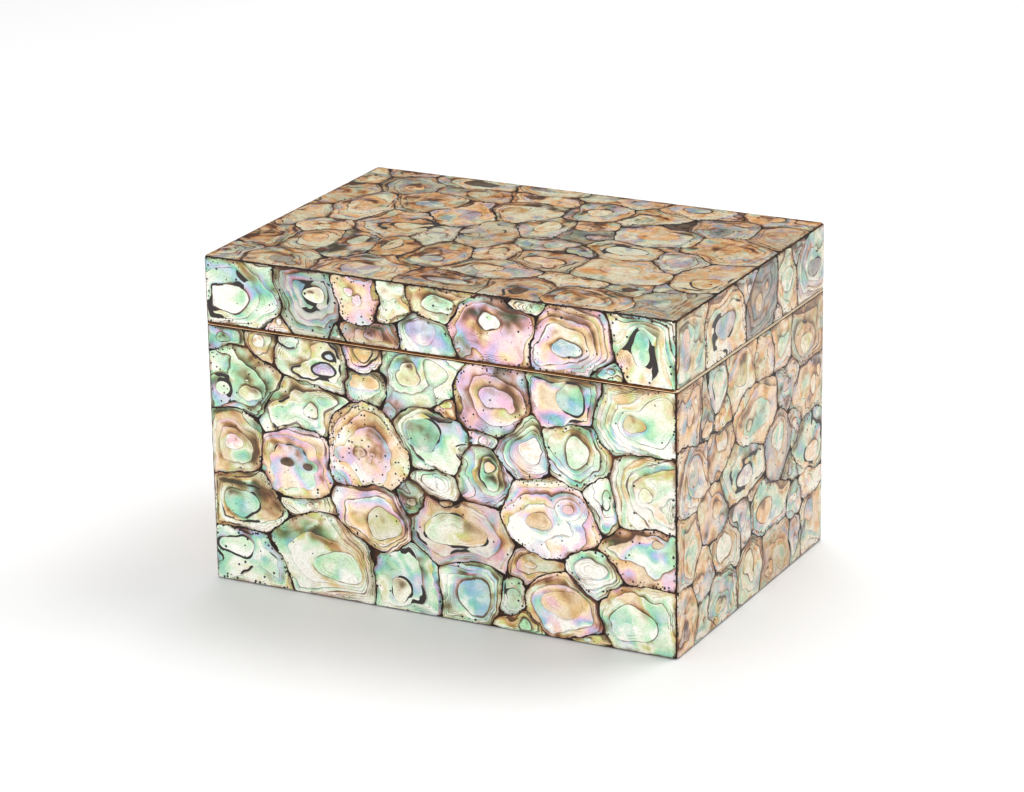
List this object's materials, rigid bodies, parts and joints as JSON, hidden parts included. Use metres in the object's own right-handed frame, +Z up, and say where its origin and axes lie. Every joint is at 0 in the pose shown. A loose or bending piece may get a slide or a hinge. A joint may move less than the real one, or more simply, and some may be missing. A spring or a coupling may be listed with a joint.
{
  "type": "shell box",
  "caption": "Rectangular wooden box with a lift-off lid, faced all over with a mosaic of polished shell pieces in dark resin, with brass strips along the closing line.",
  "frame": {"origin": "centre of the box's underside", "axes": "+X along the box's length, to the right seen from the front; the front faces -Y; +Z up, along the shortest side"},
  "size_m": [0.25, 0.173, 0.166],
  "materials": {
    "wood": "satin",
    "brass_strip": "polished",
    "shell_front": "gloss",
    "shell_side": "gloss",
    "shell_top": "gloss"
  },
  "bodies": {
    "root": {"base_carcass": "wood", "lid_carcass": "wood", "base_rim": "brass_strip", "lid_rim": "brass_strip", "base_front_shell": "shell_front", "base_back_shell": "shell_front", "lid_front_shell": "shell_front", "lid_back_shell": "shell_front", "base_right_shell": "shell_side", "base_left_shell": "shell_side", "lid_right_shell": "shell_side", "lid_left_shell": "shell_side", "lid_top_shell": "shell_top"}
  },
  "joints": []
}
